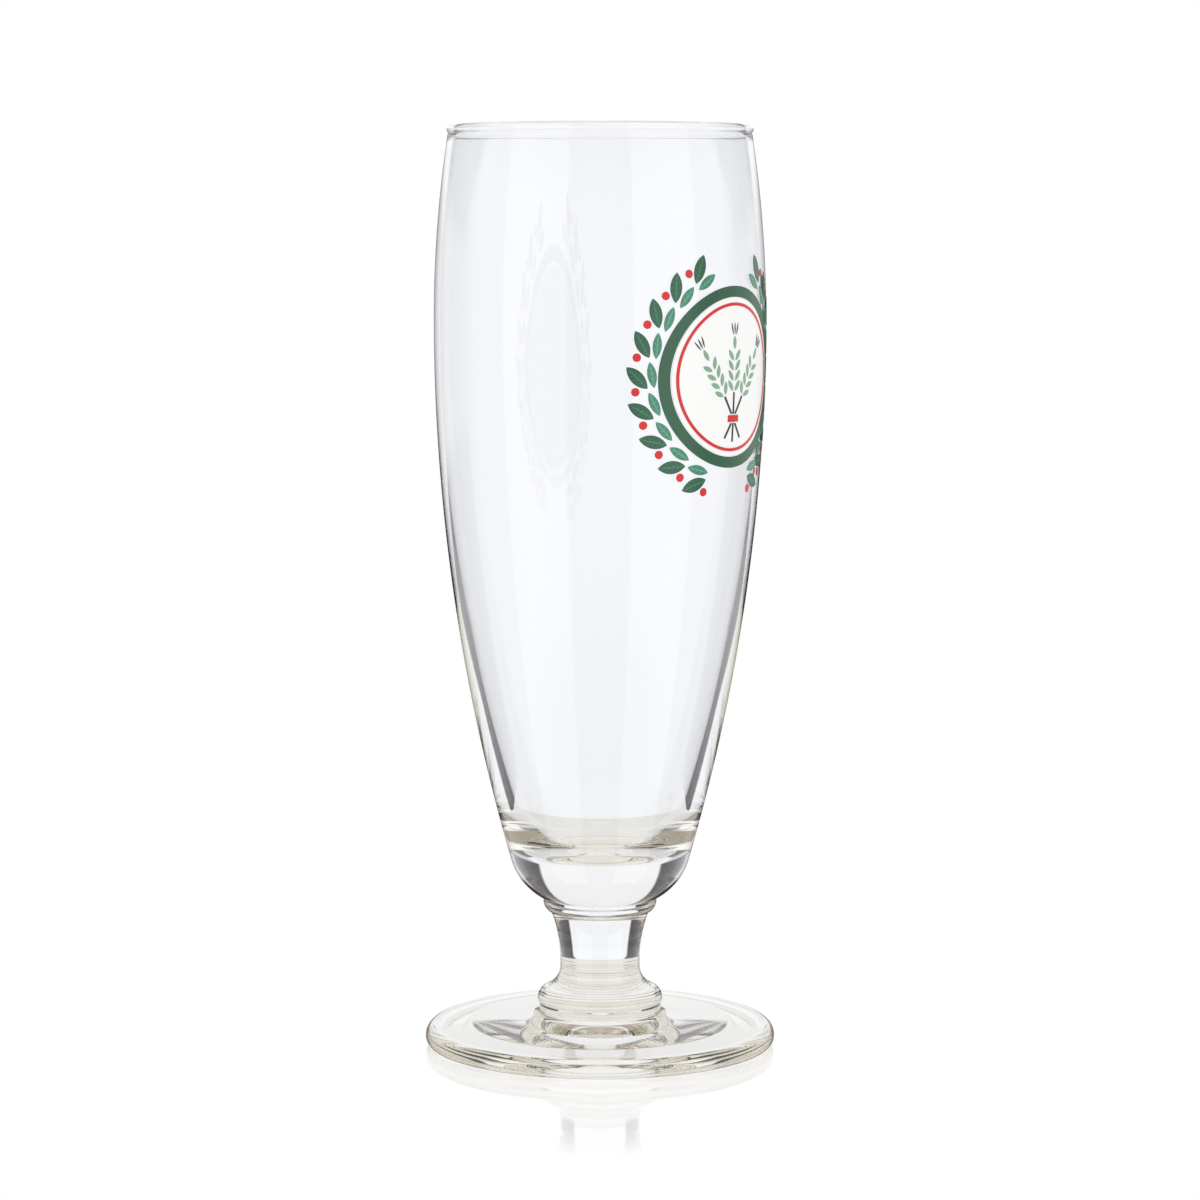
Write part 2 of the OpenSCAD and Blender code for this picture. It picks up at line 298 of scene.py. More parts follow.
collar_r = (gap ** 2 + collar_drop ** 2 - flare_r ** 2) / (2 * (flare_r - gap))
collar_c = (collar_r_out - collar_r, foot_top - collar_drop)
line = (disc_edge[0] + fillet_r * disc_up[0], disc_edge[1] + fillet_r * disc_up[1])
away = (line[0] - collar_c[0], line[1] - collar_c[1])
along = away[0] * disc_in[0] + away[1] * disc_in[1]
run = -along - sqrt(along ** 2 - away[0] ** 2 - away[1] ** 2 + (collar_r + fillet_r) ** 2)
fillet_c = (line[0] + run * disc_in[0], line[1] + run * disc_in[1])
disc_end = (disc_edge[0] + run * disc_in[0], disc_edge[1] + run * disc_in[1])
ring_depth = 0.012
ring_pitch = radians(7.5)


def chilled(points):
    """Fine rings across the flare, where the gather touched the cold mould."""
    done = []
    for p in points:
        turn = toward(flare_c, p)
        deep = ring_depth * sin(2 * pi * turn / ring_pitch)
        done.append((p[0] + deep * cos(turn), p[1] + deep * sin(turn)))
    return done


foot_outline = (
    stretch((0, recess_deep), (recess_r, recess_deep), 40)
    + stretch((recess_r, recess_deep), (rest_r - stand_wide, 0), 12)[1:]
    + arc((rest_r, edge_r), edge_r, -pi / 2, 0, 14)
    + arc(edge_c, edge_top_r, 0, pi / 2 - slope, 18)
    + stretch(disc_edge, disc_end, 24)[1:]
    + arc(fillet_c, fillet_r, 1.5 * pi - slope, toward(fillet_c, collar_c), 16)[1:]
    + arc(collar_c, collar_r, toward(fillet_c, collar_c) - pi, toward(collar_c, flare_c), 28)[1:]
    + chilled(arc(flare_c, flare_r, toward(collar_c, flare_c) + pi, pi, 90))[1:-1]
    + [(neck_r, foot_top), (0, foot_top)]
)
foot = apply_tree("foot_glass", outline_mesh("foot_outline", foot_outline), turned_glass,
                  {"Glass": pressed_glass, "Fused face": fused, "High joint": foot_top * MM})
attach(foot, "root")
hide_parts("foot")

# The stem: a short gather drawn out between the bowl and the foot while all three were hot.
# The same clear glass, narrowest just above the foot and fused to both neighbours.
stem_steps = 48
stem_cords = (90.0, 90.0, 10.0)
stem_cord_depth = 0.000003
thin_haze = 0.008
waist_z = foot_top + waist_up
stem_heights = [foot_top + (joint_z - foot_top) * i / stem_steps for i in range(stem_steps + 1)]
stem_outline = (
    [(0, foot_top)]
    + [(waist_r + drift(stem_arc, z - waist_z), z) for z in stem_heights]
    + [(0, joint_z)]
)
drawn_glass = glass_material("drawn_glass", stem_cords, thin_haze, stem_cord_depth)
stem = apply_tree("stem_glass", outline_mesh("stem_outline", stem_outline), turned_glass,
                  {"Glass": drawn_glass, "Fused face": fused, "Low joint": foot_top * MM,
                   "High joint": joint_z * MM})
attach(stem, "root")
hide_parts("stem")

# The bowl: blown in a mould, so its wall is thin above and swells into a solid base.
# Clear glass, cut off hot at the top and fire polished there to a small round bead.
rim_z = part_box("bowl")[1].z / MM
belly_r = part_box("bowl")[1].x / MM
belly_up = 121.1
belly_z = joint_z + belly_up
rim_draw = 3.1
base_r = 18.35
base_up = 11.1
base_z = joint_z + base_up
shoulder_r = 13.4
button_r_out = 11.6
button_swell = 0.6
wall = 1.05
bead_r = 0.9
heel_wall = 3.9
heel_up = 23.2
heel_z = joint_z + heel_up
heel_turn_r = 22.3
floor_up = 11.6
floor_z = joint_z + floor_up
corner_r = 9.0
dish_r = 45.0


def meeting(a, a_far, b, b_far):
    """The lower of the two places at the given distances from points a and b, with b to the right of a."""
    span = hypot(b[0] - a[0], b[1] - a[1])
    way = ((b[0] - a[0]) / span, (b[1] - a[1]) / span)
    along = (a_far ** 2 - b_far ** 2 + span ** 2) / (2 * span)
    across = sqrt(a_far ** 2 - along ** 2)
    return (a[0] + along * way[0] + across * way[1], a[1] + along * way[1] - across * way[0])


neck_run = rim_z - bead_r - belly_z
upper_arc = arc_radius(rim_draw, neck_run)
lower_arc = arc_radius(belly_r - base_r, belly_z - base_z)
upper_c = (belly_r - upper_arc, belly_z)
lower_c = (belly_r - lower_arc, belly_z)
upper_lean = asin(neck_run / upper_arc)
lower_lean = asin((belly_z - base_z) / lower_arc)
shoulder_c = (base_r - shoulder_r * cos(lower_lean), base_z + shoulder_r * sin(lower_lean))
crease_z = shoulder_c[1] - sqrt(shoulder_r ** 2 - (button_r_out - shoulder_c[0]) ** 2)
crease = (button_r_out, crease_z)
chord = (crease[0] - joint_r, crease[1] - joint_z)
half_chord = hypot(*chord) / 2
button_r = arc_radius(button_swell, half_chord)
inset = (button_r - button_swell) / (2 * half_chord)
button_c = (joint_r + chord[0] / 2 - inset * chord[1], joint_z + chord[1] / 2 + inset * chord[0])
heel_r = belly_r - drift(lower_arc, belly_z - heel_z) - heel_wall
inner_arc = arc_radius(belly_r - wall - heel_r, belly_z - heel_z)
inner_c = (belly_r - wall - inner_arc, belly_z)
heel_lean = toward(inner_c, (heel_r, heel_z))
turn_c = (heel_r - heel_turn_r * cos(heel_lean), heel_z - heel_turn_r * sin(heel_lean))
dish_c = (0, floor_z + dish_r)
corner_c = meeting(turn_c, heel_turn_r - corner_r, dish_c, dish_r - corner_r)
bead_c = (belly_r - rim_draw - wall / 2, rim_z - bead_r)
bead_from = asin(wall / 2 / bead_r) - pi / 2
bowl_outline = (
    [(0, joint_z)]
    + arc(button_c, button_r, toward(button_c, (joint_r, joint_z)), toward(button_c, crease), 16)
    + arc(shoulder_c, shoulder_r, toward(shoulder_c, crease), -lower_lean, 40)[1:]
    + arc(lower_c, lower_arc, -lower_lean, 0, 70)[1:]
    + arc(upper_c, upper_arc, 0, upper_lean - bead_r / upper_arc, 24)[1:]
    + arc(bead_c, bead_r, bead_from, pi - bead_from, 26)
    + arc(upper_c, upper_arc - wall, upper_lean - bead_r / upper_arc, 0, 24)
    + arc(inner_c, inner_arc, 0, heel_lean, 64)[1:]
    + arc(turn_c, heel_turn_r, heel_lean, toward(turn_c, corner_c), 24)[1:]
    + arc(corner_c, corner_r, toward(turn_c, corner_c), toward(dish_c, corner_c), 24)[1:]
    + arc(dish_c, dish_r, toward(dish_c, corner_c), -pi / 2, 12)[1:]
)
bowl_cords = (26.0, 26.0, 6.0)
blown_glass = glass_material("blown_glass", bowl_cords, thin_haze, cord_depth)
bowl = apply_tree("bowl_glass", outline_mesh("bowl_outline", bowl_outline), turned_glass,
                  {"Glass": blown_glass, "Fused face": fused, "Low joint": joint_z * MM})
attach(bowl, "root")
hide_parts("bowl")

# The white ground of the roundel: the first screen of enamel, printed on the bowl and fired.
# Opaque white glass frit, slightly grained by the screen's mesh and raised by its own thickness.
ink = 0.08
ink_sink = 0.01
ink_gap = 0.25
ring_r = 18.0
ring_wide = 2.2
roundel_up = 110.9
roundel_z = joint_z + roundel_up
bowl_sizes = {"Belly radius": belly_r * MM, "Belly height": belly_z * MM, "Upper arc": upper_arc * MM,
              "Lower arc": lower_arc * MM, "Middle": roundel_z * MM}
on_glass = {**bowl_sizes, "Low": -ink_sink * MM, "High": ink * MM}
on_ground = {**bowl_sizes, "Low": (ink - ink_sink) * MM, "High": 2 * ink * MM}
sheet_weld = 1e-6
ink_crease = radians(30)
print_inputs = [
    ("Belly radius", "NodeSocketFloat", 0.03),
    ("Belly height", "NodeSocketFloat", 0.15),
    ("Upper arc", "NodeSocketFloat", 0.3),
    ("Lower arc", "NodeSocketFloat", 0.4),
    ("Middle", "NodeSocketFloat", 0.14),
    ("Low", "NodeSocketFloat", 0.0),
    ("High", "NodeSocketFloat", 0.0001),
    ("Enamel", "NodeSocketMaterial", None),
]


def attribute(tree, name):
    """A number that the mesh carries, as a socket."""
    found = add(tree, "GeometryNodeInputNamedAttribute", {"data_type": "FLOAT"}, Name=name)
    return found.outputs["Attribute"]


def stored(tree, mesh, name, value):
    """The mesh with a number written on each of its points."""
    return add(tree, "GeometryNodeStoreNamedAttribute", {"data_type": "FLOAT", "domain": "POINT"},
               Geometry=mesh, Name=name, Value=value).outputs[0]


def place_parts(tree):
    """Each point's own X, Y and Z."""
    place = add(tree, "GeometryNodeInputPosition").outputs[0]
    return add(tree, "ShaderNodeSeparateXYZ", Vector=place).outputs


def fired_group():
    """Gives a flat print its thickness and lays it round the bowl, each motif square to its own root."""
    tree, given, out = new_tree("Fired on the bowl", "GeometryNodeTree",
                                [("Sheet", "NodeSocketGeometry", None)] + print_inputs,
                                [("Geometry", "NodeSocketGeometry")])
    sheet = add(tree, "GeometryNodeMergeByDistance", Geometry=given["Sheet"], Distance=sheet_weld).outputs[0]
    up = add(tree, "ShaderNodeCombineXYZ", X=0.0, Y=0.0, Z=1.0).outputs[0]
    raised = add(tree, "GeometryNodeExtrudeMesh", {"mode": "FACES"}, Mesh=sheet, Offset=up,
                 Offset_Scale=calc(tree, "SUBTRACT", given["High"], given["Low"]), Individual=False)
    under = add(tree, "GeometryNodeFlipFaces", Mesh=sheet)
    both = add(tree, "GeometryNodeJoinGeometry")
    tree.links.new(raised.outputs["Mesh"], both.inputs[0])
    tree.links.new(under.outputs[0], both.inputs[0])
    closed = add(tree, "GeometryNodeMergeByDistance", Geometry=both.outputs[0], Distance=weld).outputs[0]
    flat = place_parts(tree)
    high = calc(tree, "ADD", given["Middle"], flat["Y"])
    run = calc(tree, "SUBTRACT", high, given["Belly height"])
    above = calc(tree, "GREATER_THAN", run, 0.0)
    bend = calc(tree, "ADD", given["Lower arc"], calc(
        tree, "MULTIPLY", above, calc(tree, "SUBTRACT", given["Upper arc"], given["Lower arc"])))
    reach = calc(tree, "ADD", calc(tree, "ADD", bend, given["Low"]), flat["Z"])
    level = calc(tree, "SQRT", calc(tree, "SUBTRACT", calc(tree, "MULTIPLY", reach, reach),
                                    calc(tree, "MULTIPLY", run, run)))
    radius = calc(tree, "ADD", calc(tree, "SUBTRACT", given["Belly radius"], bend), level)
    girth = attribute(tree, "girth")
    aside = calc(tree, "ARCSINE", calc(tree, "DIVIDE", calc(tree, "SUBTRACT", flat["X"], girth), radius))
    turn = calc(tree, "ADD", calc(tree, "DIVIDE", girth, given["Belly radius"]), aside)
    x = calc(tree, "MULTIPLY", radius, calc(tree, "SINE", turn))
    y = calc(tree, "MULTIPLY", calc(tree, "MULTIPLY", radius, -1.0), calc(tree, "COSINE", turn))
    laid = add(tree, "ShaderNodeCombineXYZ", X=x, Y=y, Z=high)
    wrapped = add(tree, "GeometryNodeSetPosition", Geometry=closed, Position=laid.outputs[0]).outputs[0]
    shaded = smooth_but_creases(tree, wrapped, ink_crease)
    solid = add(tree, "GeometryNodeRealizeInstances", Geometry=shaded).outputs[0]
    inked = add(tree, "GeometryNodeSetMaterial", Geometry=solid, Material=given["Enamel"]).outputs[0]
    tree.links.new(inked, out.inputs[0])
    return tree


def fire(tree, given, sheet, out):
    """Ends a print's tree: its flat sheet goes round the bowl with the sizes that the tree was given."""
    sizes = {name.replace(" ", "_"): given[name] for name, kind, value in print_inputs}
    made = add(tree, "GeometryNodeGroup", {"node_tree": fired_on_bowl}, Sheet=sheet, **sizes)
    tree.links.new(made.outputs[0], out.inputs[0])


def unit_grid(tree, across, along):
    """A sheet one unit wide and long, with its numbers of steps."""
    return add(tree, "GeometryNodeMeshGrid", Size_X=1.0, Size_Y=1.0, Vertices_X=calc(tree, "ADD", across, 1),
               Vertices_Y=calc(tree, "ADD", along, 1)).outputs["Mesh"]


def band_tree():
    """A round band in the flat, from its inner to its outer radius."""
    tree, given, out = new_tree("Printed band", "GeometryNodeTree", [
        ("Start", "NodeSocketGeometry", None),
        ("Inner radius", "NodeSocketFloat", 0.0),
        ("Outer radius", "NodeSocketFloat", 0.01),
        ("Rows", "NodeSocketInt", 6),
        ("Steps", "NodeSocketInt", 240),
    ] + print_inputs, [("Geometry", "NodeSocketGeometry")])
    grid = unit_grid(tree, given["Rows"], given["Steps"])
    part = place_parts(tree)
    across = calc(tree, "ADD", part["X"], 0.5)
    wide = calc(tree, "SUBTRACT", given["Outer radius"], given["Inner radius"])
    radius = calc(tree, "ADD", given["Inner radius"], calc(tree, "MULTIPLY", across, wide))
    turn = calc(tree, "MULTIPLY", calc(tree, "ADD", part["Y"], 0.5), 2 * pi)
    x = calc(tree, "MULTIPLY", radius, calc(tree, "COSINE", turn))
    y = calc(tree, "MULTIPLY", radius, calc(tree, "SINE", turn))
    round_place = add(tree, "ShaderNodeCombineXYZ", X=x, Y=y, Z=0.0).outputs[0]
    sheet = add(tree, "GeometryNodeSetPosition", Geometry=grid, Position=round_place).outputs[0]
    fire(tree, given, sheet, out)
    return tree


cloud_scale = 420.0
thread_scale = 900.0
thread_mark = 0.3
thread_rise = 0.5
cloud_rough = 0.12
screen_depth = 0.000006


def screen_group():
    """Ink pressed through a fine mesh and fired: faint mottle in its colour, gloss and surface."""
    tree, given, out = new_tree("Screen print", "ShaderNodeTree", [
        ("Ink", "NodeSocketColor", (1.0, 1.0, 1.0, 1.0)),
        ("Mottle", "NodeSocketFloat", 0.1),
        ("Gloss", "NodeSocketFloat", 0.25),
    ], [("Colour", "NodeSocketColor"), ("Roughness", "NodeSocketFloat"), ("Height", "NodeSocketFloat")])
    place = add(tree, "ShaderNodeTexCoord").outputs["Object"]
    clouds = add(tree, "ShaderNodeTexNoise", Vector=place, Scale=cloud_scale, Detail=3.0).outputs["Fac"]
    threads = [add(tree, "ShaderNodeTexWave", {"bands_direction": way}, Vector=place, Scale=thread_scale,
                   Distortion=0.0).outputs["Fac"] for way in ("X", "Z")]
    mesh = calc(tree, "MULTIPLY", *threads)
    marks = calc(tree, "ADD", clouds, calc(tree, "MULTIPLY", mesh, thread_mark))
    thin = calc(tree, "MULTIPLY", marks, given["Mottle"])
    pale = add(tree, "ShaderNodeMix", {"data_type": "RGBA", "blend_type": "SCREEN"}, Factor=thin,
               A=given["Ink"], B=given["Ink"])
    rough = calc(tree, "ADD", given["Gloss"], calc(tree, "MULTIPLY", clouds, cloud_rough))
    tree.links.new(pale.outputs["Result"], out.inputs["Colour"])
    tree.links.new(rough, out.inputs["Roughness"])
    raised = calc(tree, "ADD", clouds, calc(tree, "MULTIPLY", mesh, thread_rise))
    tree.links.new(raised, out.inputs["Height"])
    return tree


fired_on_bowl = fired_group()
printed_band = band_tree()
screen_print = screen_group()


def enamel(name, ink_colour, mottle, gloss):
    """Fired enamel in one ink."""
    material = bpy.data.materials.new(name)
    material.use_nodes = True
    tree = material.node_tree
    shader = tree.nodes["Principled BSDF"]
    made = add(tree, "ShaderNodeGroup", {"node_tree": screen_print}, Ink=ink_colour, Mottle=mottle,
               Gloss=gloss)
    bump = add(tree, "ShaderNodeBump", Strength=1.0, Distance=screen_depth, Height=made.outputs["Height"])
    for socket, value in (("Base Color", made.outputs["Colour"]), ("Roughness", made.outputs["Roughness"]),
                          ("Normal", bump.outputs[0]), ("IOR", glass_ior)):
        wire(tree, shader, socket, value)
    return material


def printed(piece, node):
    """A finished print that takes the place of its plain node on the bowl."""
    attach(piece, "root")
    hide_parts(node)


def start_mesh(name):
    """The single point that a band's tree begins with."""
    mesh = bpy.data.meshes.new(name)
    mesh.from_pydata([(0.0, 0.0, 0.0)], [], [])
    return mesh


ring_inner = ring_r - ring_wide
ground_r = ring_inner - ink_gap
ground_rows = 30
white_enamel = enamel("white_enamel", (0.93, 0.93, 0.92, 1.0), 0.02, 0.2)
ground = apply_tree("ground_enamel", start_mesh("ground_start"), printed_band,
                    {**on_glass, "Outer radius": ground_r * MM, "Rows": ground_rows, "Enamel": white_enamel})
printed(ground, "ground_print")

# The ring and the pinstripe: two screens that frame the ground, one on the glass and one on the white.
# Fired enamel in dark green and red, with a line of bare glass left between green and white.
stripe_gap = 1.1
stripe_wide = 0.6
dark_green = (0.005, 0.075, 0.03, 1.0)
red = (0.62, 0.002, 0.004, 1.0)
stripe_outer = ring_inner - stripe_gap
dark_green_enamel = enamel("dark_green_enamel", dark_green, 0.08, 0.2)
red_enamel = enamel("red_enamel", red, 0.06, 0.2)
ring = apply_tree("ring_enamel", start_mesh("ring_start"), printed_band,
                  {**on_glass, "Inner radius": ring_inner * MM, "Outer radius": ring_r * MM,
                   "Enamel": dark_green_enamel})
printed(ring, "ring_print")
pinstripe = apply_tree("pinstripe_enamel", start_mesh("pinstripe_start"), printed_band,
                       {**on_ground, "Inner radius": (stripe_outer - stripe_wide) * MM,
                        "Outer radius": stripe_outer * MM, "Rows": 3, "Enamel": red_enamel})
printed(pinstripe, "pinstripe_print")

# The wreath: two rows of leaves and a row of berries up each side of the ring, on the bare glass.
# Three screens of fired enamel, dark and mid green with paler veins, and red.
motif_sizes = ("turn", "long", "wide", "start", "pointed", "slant")


def motif(u, v, turn, long, wide, start=0.0, pointed=1.0, slant=0.0):
    """A motif's root in the flat, its turn in degrees, its sizes, and how its ends are cut."""
    return {"root": (u, v), "turn": radians(turn), "long": long * MM, "wide": wide * MM,
            "start": start * MM, "pointed": pointed, "slant": slant}


def motif_mesh(name, motifs):
    """The motifs' roots as points that carry their sizes."""
    mesh = bpy.data.meshes.new(name)
    mesh.from_pydata([(m["root"][0] * MM, m["root"][1] * MM, 0.0) for m in motifs], [], [])
    for size in motif_sizes:
        mesh.attributes.new(size, "FLOAT", "POINT").data.foreach_set("value", [m[size] for m in motifs])
    return mesh


def motif_tree():
    """Draws each motif in the flat from its root: a blade of two arcs, or a straight strip."""
    tree, given, out = new_tree("Printed motifs", "GeometryNodeTree", [
        ("Roots", "NodeSocketGeometry", None),
        ("Across steps", "NodeSocketInt", 8),
        ("Along steps", "NodeSocketInt", 20),
    ] + print_inputs, [("Geometry", "NodeSocketGeometry")])
    grid = unit_grid(tree, given["Across steps"], given["Along steps"])
    part = place_parts(tree)
    grid = stored(tree, grid, "across", calc(tree, "MULTIPLY", part["X"], 2.0))
    grid = stored(tree, grid, "along", calc(tree, "ADD", part["Y"], 0.5))
    roots = stored(tree, given["Roots"], "girth", part["X"])
    roots = stored(tree, roots, "rise", part["Y"])
    copies = add(tree, "GeometryNodeInstanceOnPoints", Points=roots, Instance=grid).outputs[0]
    motifs = add(tree, "GeometryNodeRealizeInstances", Geometry=copies).outputs[0]
    size = {name: attribute(tree, name) for name in motif_sizes + ("across", "along", "girth", "rise")}
    half_wide = calc(tree, "MULTIPLY", size["wide"], 0.5)
    squares = calc(tree, "ADD", calc(tree, "MULTIPLY", size["long"], size["long"]),
                   calc(tree, "MULTIPLY", size["wide"], size["wide"]))
    side_r = calc(tree, "DIVIDE", squares, calc(tree, "MULTIPLY", size["wide"], 4.0))
    off = calc(tree, "MULTIPLY", calc(tree, "SUBTRACT", size["along"], 0.5), size["long"])
    bulge = calc(tree, "SQRT", calc(tree, "MAXIMUM", 0.0, calc(
        tree, "SUBTRACT", calc(tree, "MULTIPLY", side_r, side_r), calc(tree, "MULTIPLY", off, off))))
    blade = calc(tree, "SUBTRACT", bulge, side_r)
    half = calc(tree, "ADD", half_wide, calc(tree, "MULTIPLY", size["pointed"], blade))
    x = calc(tree, "MULTIPLY", size["across"], half)
    to_tip = calc(tree, "SUBTRACT", 1.0, size["along"])
    cut = calc(tree, "MULTIPLY", calc(tree, "MULTIPLY", size["slant"], x), to_tip)
    reach = calc(tree, "ADD", size["start"], calc(tree, "MULTIPLY", size["along"], size["long"]))
    y = calc(tree, "ADD", reach, cut)
    level = calc(tree, "COSINE", size["turn"])
    lean = calc(tree, "SINE", size["turn"])
    u = calc(tree, "SUBTRACT", calc(tree, "MULTIPLY", x, level), calc(tree, "MULTIPLY", y, lean))
    v = calc(tree, "ADD", calc(tree, "MULTIPLY", x, lean), calc(tree, "MULTIPLY", y, level))
    drawn = add(tree, "ShaderNodeCombineXYZ", X=calc(tree, "ADD", size["girth"], u),
                Y=calc(tree, "ADD", size["rise"], v), Z=0.0).outputs[0]
    sheet = add(tree, "GeometryNodeSetPosition", Geometry=motifs, Position=drawn).outputs[0]
    fire(tree, given, sheet, out)
    return tree


printed_motifs = motif_tree()
young_out = 0.915
leaf_out = 1.4
berry_out = 2.5
young_at = belly_r * asin(ring_r / belly_r) + young_out
leaf_at = young_at + leaf_out
berry_at = leaf_at + berry_out
leaf_first = 20.0
leaf_pitch = 16.25
leaf_count = 9
leaf_turns = [leaf_first + leaf_pitch * i for i in range(leaf_count)]


def wreath(far, tilt, lead, long, wide, start):
    """One row of motifs up both sides of the wreath, at a distance from its middle."""
    rows = []
    for side in (1, -1):
        for turn in leaf_turns:
            a = radians(turn + lead)
            lean = side * (turn + lead - tilt - 90.0)
            rows.append(motif(side * far * sin(a), -far * cos(a), lean, long, wide, start))
    return rows


leaf_long = 6.0
leaf_wide = 2.6
leaf_tilt = 40.0
young_long = 5.2
young_wide = 1.9
young_tilt = 6.0
berry_wide = 1.7
berry_lead = -1.0
mid_green = (0.035, 0.2, 0.12, 1.0)
pale_green = (0.16, 0.42, 0.28, 1.0)
rib_core = 0.6
vein_climb = 0.18
vein_thin = 0.05
vein_wide = 0.1
vein_share = 0.6
vein_fade = 0.55
vein_end = 0.8


def vein_group():
    """Midrib and side veins of a leaf, from its own width and length."""
    tree, given, out = new_tree("Leaf veins", "ShaderNodeTree", [
        ("Veins", "NodeSocketFloat", 5.0),
        ("Rib", "NodeSocketFloat", 0.1),
    ], [("Mask", "NodeSocketFloat")])
    across = add(tree, "ShaderNodeAttribute", {"attribute_name": "across"}).outputs["Fac"]
    along = add(tree, "ShaderNodeAttribute", {"attribute_name": "along"}).outputs["Fac"]
    aside = calc(tree, "ABSOLUTE", across)
    rib = add(tree, "ShaderNodeMapRange", {"interpolation_type": "SMOOTHSTEP"}, Value=aside,
              From_Min=calc(tree, "MULTIPLY", given["Rib"], rib_core), From_Max=given["Rib"],
              To_Min=1.0, To_Max=0.0)
    climb = calc(tree, "SUBTRACT", along, calc(tree, "MULTIPLY", aside, vein_climb))
    wave = calc(tree, "ABSOLUTE", calc(tree, "SUBTRACT", calc(tree, "FRACT", calc(
        tree, "MULTIPLY", climb, given["Veins"])), 0.5))
    vein = add(tree, "ShaderNodeMapRange", {"interpolation_type": "SMOOTHSTEP"}, Value=wave,
               From_Min=vein_thin, From_Max=vein_wide, To_Min=vein_share, To_Max=0.0)
    tip = add(tree, "ShaderNodeMapRange", Value=aside, From_Min=vein_fade, From_Max=vein_end,
              To_Min=1.0, To_Max=0.0)
    veins = calc(tree, "MULTIPLY", vein.outputs[0], tip.outputs[0])
    tree.links.new(calc(tree, "MAXIMUM", rib.outputs[0], veins), out.inputs[0])
    return tree


leaf_veins = vein_group()


def leaf_enamel(name, leaf_colour, vein_colour, veins):
    """Enamel of a leaf, with its veins a shade paler."""
    material = enamel(name, leaf_colour, 0.08, 0.2)
    tree = material.node_tree
    printed_ink = next(n for n in tree.nodes if n.type == "GROUP")
    mask = add(tree, "ShaderNodeGroup", {"node_tree": leaf_veins}, Veins=veins).outputs[0]
    veined = add(tree, "ShaderNodeMix", {"data_type": "RGBA"}, Factor=mask, A=leaf_colour, B=vein_colour)
    tree.links.new(veined.outputs["Result"], printed_ink.inputs["Ink"])
    return material


leaf_ink = leaf_enamel("dark_leaf_enamel", dark_green, mid_green, 6.0)
young_ink = leaf_enamel("young_leaf_enamel", mid_green, pale_green, 5.0)
leaf_roots = motif_mesh("leaf_roots", wreath(leaf_at, leaf_tilt, 0.0, leaf_long, leaf_wide, 0.0))
leaf = apply_tree("leaf_enamel", leaf_roots, printed_motifs, {**on_glass, "Enamel": leaf_ink})
printed(leaf, "leaf_print")
young_rows = wreath(young_at, young_tilt, 0.0, young_long, young_wide, 0.0)
young_roots = motif_mesh("young_leaf_roots", young_rows)
young_leaf = apply_tree("young_leaf_enamel", young_roots, printed_motifs, {**on_glass, "Enamel": young_ink})
printed(young_leaf, "young_leaf_print")
berry_rows = wreath(berry_at, 0.0, berry_lead, berry_wide, berry_wide, -berry_wide / 2)
berry_roots = motif_mesh("berry_roots", berry_rows)
berry = apply_tree("berry_enamel", berry_roots, printed_motifs, {**on_glass, "Enamel": red_enamel})
printed(berry, "berry_print")

# The barley: three ears on black stalks, with awns, held by a red tie in the middle of the ground.
# Three more screens of fired enamel, printed over the white.
ears = (-33.0, 0.0, 33.0)
tie_up = -8.2
tie_long = 3.4
stalk_wide = 0.45
tie_wide = 3 * stalk_wide
stalk_ends = (5.2, 4.6)
grain_long = 2.6
grain_wide = 0.95
grain_from = 5.5
grain_pitch = 2.0
grain_pairs = 4
grain_splay = 36.0
awn_long = 2.4
awn_wide = 0.3
awn_fan = (-13.0, 0.0, 13.0)
grain_top = grain_from + grain_pairs * grain_pitch
light_green = (0.2, 0.37, 0.24, 1.0)
grain_rib = (0.32, 0.5, 0.36, 1.0)
black = (0.006, 0.006, 0.007, 1.0)


def on_ear(lean, x, y, splay, long, wide):
    """A blade beside the line of an ear that leans by an angle, at a height above the tie."""
    a = radians(lean)
    return motif(x * cos(a) + y * sin(a), tie_up - x * sin(a) + y * cos(a), -lean - splay, long, wide)


grains = []
awns = []
stalks = []
for lean in ears:
    for side in (-1, 1):
        for i in range(grain_pairs):
            grains.append(on_ear(lean, side * grain_wide / 3, grain_from + i * grain_pitch,
                                 side * grain_splay, grain_long, grain_wide))
    grains.append(on_ear(lean, 0.0, grain_top + ink_gap, 0.0, grain_long, grain_wide))
    for splay in awn_fan:
        x = 2 * ink_gap * (splay > 0) - 2 * ink_gap * (splay < 0)
        awns.append(on_ear(lean, x, grain_top + grain_long + 2 * ink_gap, splay, awn_long, awn_wide))
    start = (tie_wide / 2 + ink_gap) / cos(radians(lean))
    slant = sin(radians(lean)) / cos(radians(lean))
    for turn, stop in zip((-lean, 180.0 - lean), stalk_ends):
        stalks.append(motif(0.0, tie_up, turn, stop - start, stalk_wide, start, 0.0, slant))
light_green_enamel = leaf_enamel("light_green_enamel", light_green, grain_rib, 0.0)
black_enamel = enamel("black_enamel", black, 0.1, 0.25)
grain = apply_tree("grain_enamel", motif_mesh("grain_roots", grains), printed_motifs,
                   {**on_ground, "Enamel": light_green_enamel})
printed(grain, "grain_print")
stalk = apply_tree("stalk_enamel", motif_mesh("stalk_roots", stalks + awns), printed_motifs,
                   {**on_ground, "Across steps": 3, "Along steps": 12, "Enamel": black_enamel})
printed(stalk, "stalk_print")
tie_roots = motif_mesh("tie_roots", [motif(0.0, tie_up, 0.0, tie_wide, tie_long, -tie_wide / 2, 0.0)])
tie = apply_tree("tie_enamel", tie_roots, printed_motifs,
                 {**on_ground, "Across steps": 16, "Along steps": 6, "Enamel": red_enamel})
printed(tie, "tie_print")

# The studio: a white table with a polish, a lit backdrop between two dark flags, and two softboxes in
# front. The glass shows itself by what it bends and mirrors of them. Backdrop, flags and softboxes are
# tones of the surroundings, by the way a ray leaves the glass.
view_turn = radians(-52.0)


